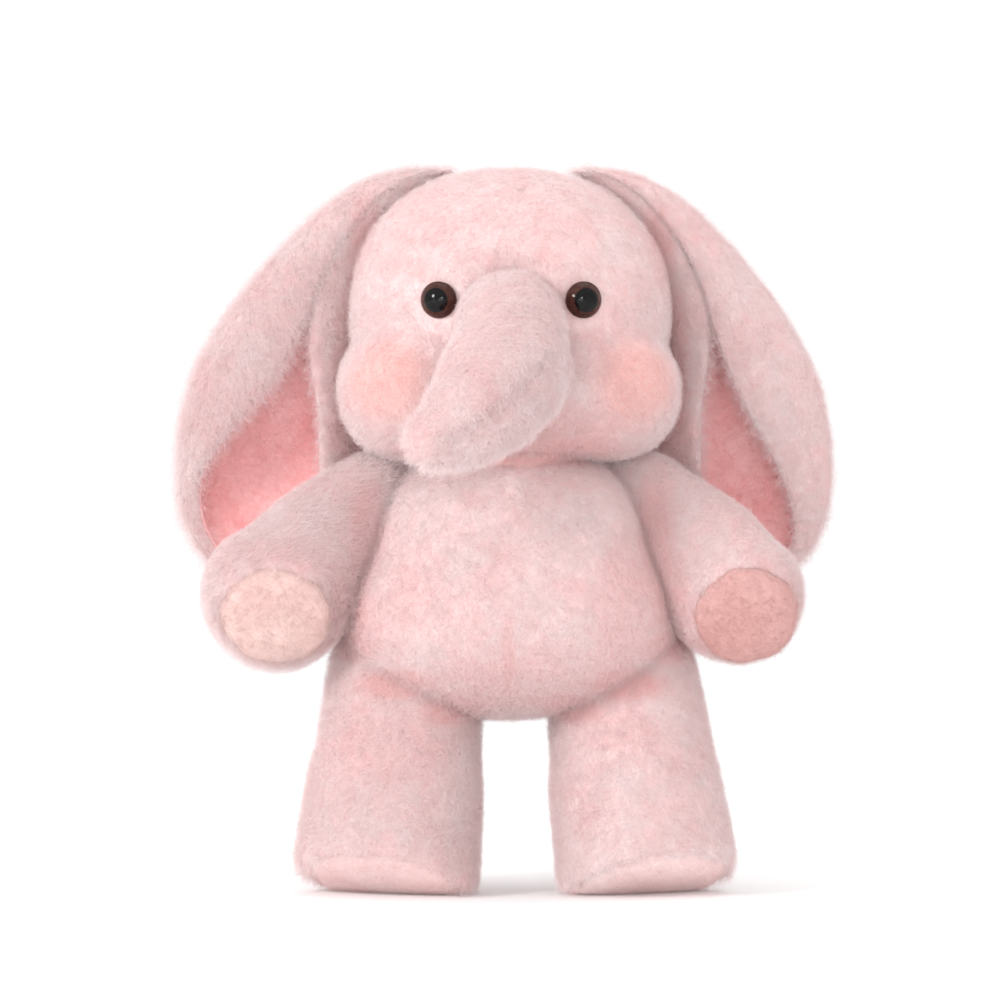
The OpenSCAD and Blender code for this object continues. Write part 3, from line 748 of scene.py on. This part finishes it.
# ---------------------------------------------------------------- pile on each piece
pile(head, M_FURH, 8500, 2.0, 0.10, 11, group=group_from(head, "pile", lambda p: np.minimum.reduce(
    [np.clip((np.linalg.norm(p - np.array(EYES[s]), axis=1) - 9.0) / 4.0, 0, 1) for s in (1, -1)])))
pile(neck, M_FURH, 900, 2.2, 0.10, 14)
pile(trunk, M_FURH, 4200, 1.8, 0.095, 12)
pile(torso, M_FURH, 8500, 2.2, 0.10, 13)
for s in (1, -1):
    pile(arms[s], M_FURH, 4200, 2.1, 0.10, 20 + s, group=group_from(arms[s], "pile", lambda p, s=s: np.clip(
        (np.linalg.norm(np.cross(p * np.array((s, 1, 1)) - (np.array(HAND) + PAD_N * 17), PAD_N), axis=1) - 18.8) / 4, 0, 1) +
        ((p * np.array((s, 1, 1)) - (np.array(HAND) + PAD_N * 8)) @ PAD_N < 0)))
    pile(legs[s], M_FURH, 5200, 2.1, 0.10, 30 + s, group=group_from(legs[s], "pile", lambda p, s=s: np.clip(
        (np.linalg.norm(np.cross(p * np.array((s, 1, 1)) - SOLE_C[s], SOLE_N), axis=1) - 30.5) / 4, 0, 1) * np.clip(p[:, 2] / 4, 0, 1) +
        ((p * np.array((s, 1, 1)) - (SOLE_C[s] - SOLE_N * 8)) @ SOLE_N < 0)))
    pile(ears[s], M_FURH, 6000, 2.2, 0.10, 40 + s, group="pile")
    pile(linings[s], M_LINH, 2400, 1.2, 0.09, 50 + s, lean_k=0.3)
    pile(pads[s], M_PADH[s], 700, 0.9, 0.08, 60 + s, lean_k=0.1, rough=0.004)
    pile(soles[s], M_SOLEH, 1300, 0.9, 0.08, 70 + s, lean_k=0.1, rough=0.004)
pile(tail, M_FURH, 500, 2.2, 0.10, 80)


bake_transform(trunk)
for s in (1, -1):
    nm = NAMES[s]
    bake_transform(arms[s])
    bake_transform(legs[s])
    for o in (ears[s], linings[s]):
        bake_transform(o)

# ---------------------------------------------------------------- carried-over eyes
def paint(node, mat):
    o = frame["nodes"][node]
    o.data.materials.clear()
    o.data.materials.append(mat)


for nm in ("left", "right"):
    paint(f"eye_{nm}", M_IRIS); paint(f"eye_pupil_{nm}", M_PUPIL)

# ---------------------------------------------------------------- floor, light, camera
def floor_mat():
    N = Nodes("floor_pale")
    tc = N.add("ShaderNodeTexCoord")
    n = N.add("ShaderNodeTexNoise", i_Scale=3.0); N.link(tc.outputs["Object"], n.inputs["Vector"])
    c = N.ramp(n.outputs[0], [(0.3, (0.975, 0.975, 0.975)), (0.7, (0.985, 0.985, 0.985))])
    b = N.add("ShaderNodeBsdfPrincipled"); b.inputs["Roughness"].default_value = 0.9; b.inputs["Specular IOR Level"].default_value = 0.1
    b.inputs["Emission Color"].default_value = (1, 1, 1, 1); b.inputs["Emission Strength"].default_value = 0.05
    N.link(c, b.inputs["Base Color"]); N.link(b.outputs[0], N.out.inputs[0])
    return N.m


fl = bpy.data.meshes.new("floor"); R = 6.0
fl.from_pydata([(-R, -R, 0), (R, -R, 0), (R, R, 0), (-R, R, 0)], [], [(0, 1, 2, 3)])
floor = bpy.data.objects.new("floor", fl); bpy.context.scene.collection.objects.link(floor)
fl.materials.append(floor_mat())

w = bpy.data.worlds.new("studio"); bpy.context.scene.world = w; w.use_nodes = True
bg = w.node_tree.nodes["Background"]; bg.inputs[0].default_value = (1, 1, 1, 1)
lp = w.node_tree.nodes.new("ShaderNodeLightPath"); mr = w.node_tree.nodes.new("ShaderNodeMapRange")
mr.inputs[3].default_value = 0.98; mr.inputs[4].default_value = 1.02
w.node_tree.links.new(lp.outputs["Is Camera Ray"], mr.inputs[0]); w.node_tree.links.new(mr.outputs[0], bg.inputs[1])


def area(name, loc, target, size, energy, color=(1, 1, 1)):
    d = bpy.data.lights.new(name, "AREA"); d.shape = "DISK"; d.size = size; d.energy = energy; d.color = color
    o = bpy.data.objects.new(name, d); bpy.context.scene.collection.objects.link(o)
    o.location = loc
    o.rotation_euler = (Vector(target) - Vector(loc)).to_track_quat("-Z", "Y").to_euler()
    return o


area("key", (-1.30, -1.25, 0.80), (0, 0, 0.15), 0.5, 17.0, (0.995, 1, 0.995))
area("fill", (-0.05, -1.9, 0.10), (0, 0, 0.15), 0.9, 5.5)
area("catch", (0.16, -1.7, 0.50), (0, 0, 0.22), 0.16, 2.6)
area("top", (0.15, 0.15, 1.5), (0, 0, 0.15), 1.0, 2.5)

cam_d = bpy.data.cameras.new("camera"); cam = bpy.data.objects.new("camera", cam_d); bpy.context.scene.collection.objects.link(cam)
D = 1.9; ELEV = 0.0
tgt = Vector((-0.0045, 0.0, 0.162))
cam.location = tgt + Vector((0, -D * math.cos(ELEV), D * math.sin(ELEV)))
cam.rotation_euler = (tgt - cam.location).to_track_quat("-Z", "Y").to_euler()
cam_d.sensor_width = 36; cam_d.lens = 36 * (D - 0.02) / 0.405
bpy.context.scene.camera = cam
bpy.context.scene.view_settings.view_transform = "Standard"
